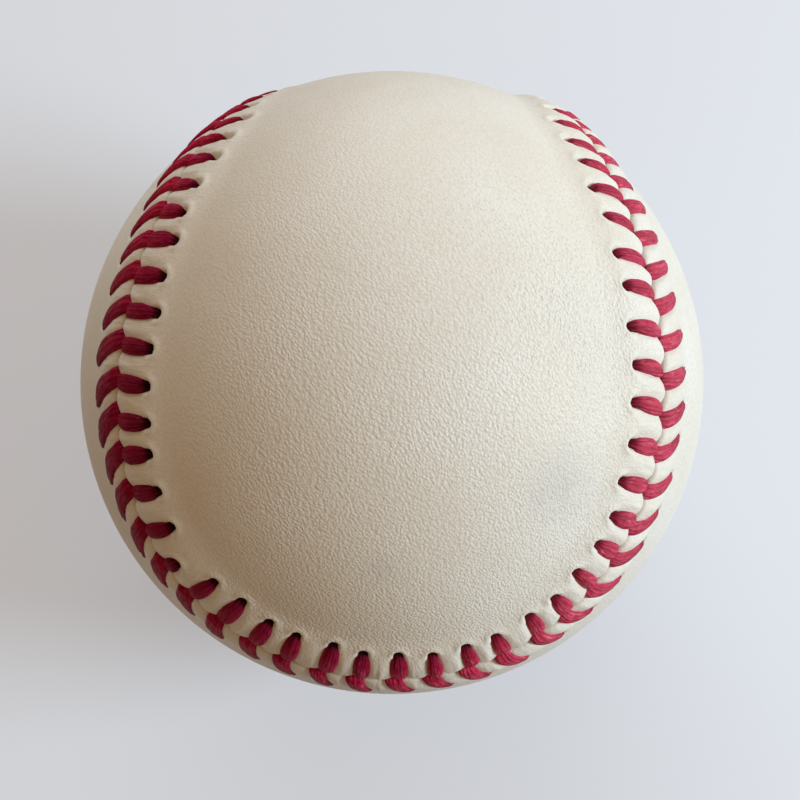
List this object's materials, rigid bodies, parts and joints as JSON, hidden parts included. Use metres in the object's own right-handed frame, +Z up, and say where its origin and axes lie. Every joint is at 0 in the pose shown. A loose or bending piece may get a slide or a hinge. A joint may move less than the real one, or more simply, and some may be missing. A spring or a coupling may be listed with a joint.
{
  "type": "baseball",
  "caption": "Regulation-size baseball with a cork and rubber centre, yarn windings and a two-panel leather cover closed by a raised, red, hand-sewn seam.",
  "frame": {"origin": "the ball's centre", "axes": "+Z up through the middle of one lobe of the upright panel, +Y through the waist of that panel, X along the lobes of the crosswise panel"},
  "size_m": [0.074, 0.074, 0.074],
  "materials": {
    "cork": "matte composition cork with dark specks",
    "black_rubber": "matte moulded rubber",
    "red_rubber": "matte moulded rubber",
    "grey_wool": "tightly wound wool yarn",
    "white_wool": "tightly wound wool yarn",
    "finishing_yarn": "fine cotton yarn",
    "cement": "thin dried rubber cement, satin",
    "cover_leather": "off-white cowhide with a fine pebble grain, satin",
    "seam_thread": "waxed crimson sewing thread"
  },
  "bodies": {
    "root": {"cork_core": "cork", "upper_half_shell": "black_rubber", "lower_half_shell": "black_rubber", "half_shell_gasket": "red_rubber", "rubber_jacket": "red_rubber", "first_winding": "grey_wool", "second_winding": "white_wool", "third_winding": "grey_wool", "finishing_winding": "finishing_yarn", "cement_coat": "cement", "upright_panel": "cover_leather", "crosswise_panel": "cover_leather", "first_thread": "seam_thread", "second_thread": "seam_thread"}
  },
  "joints": []
}
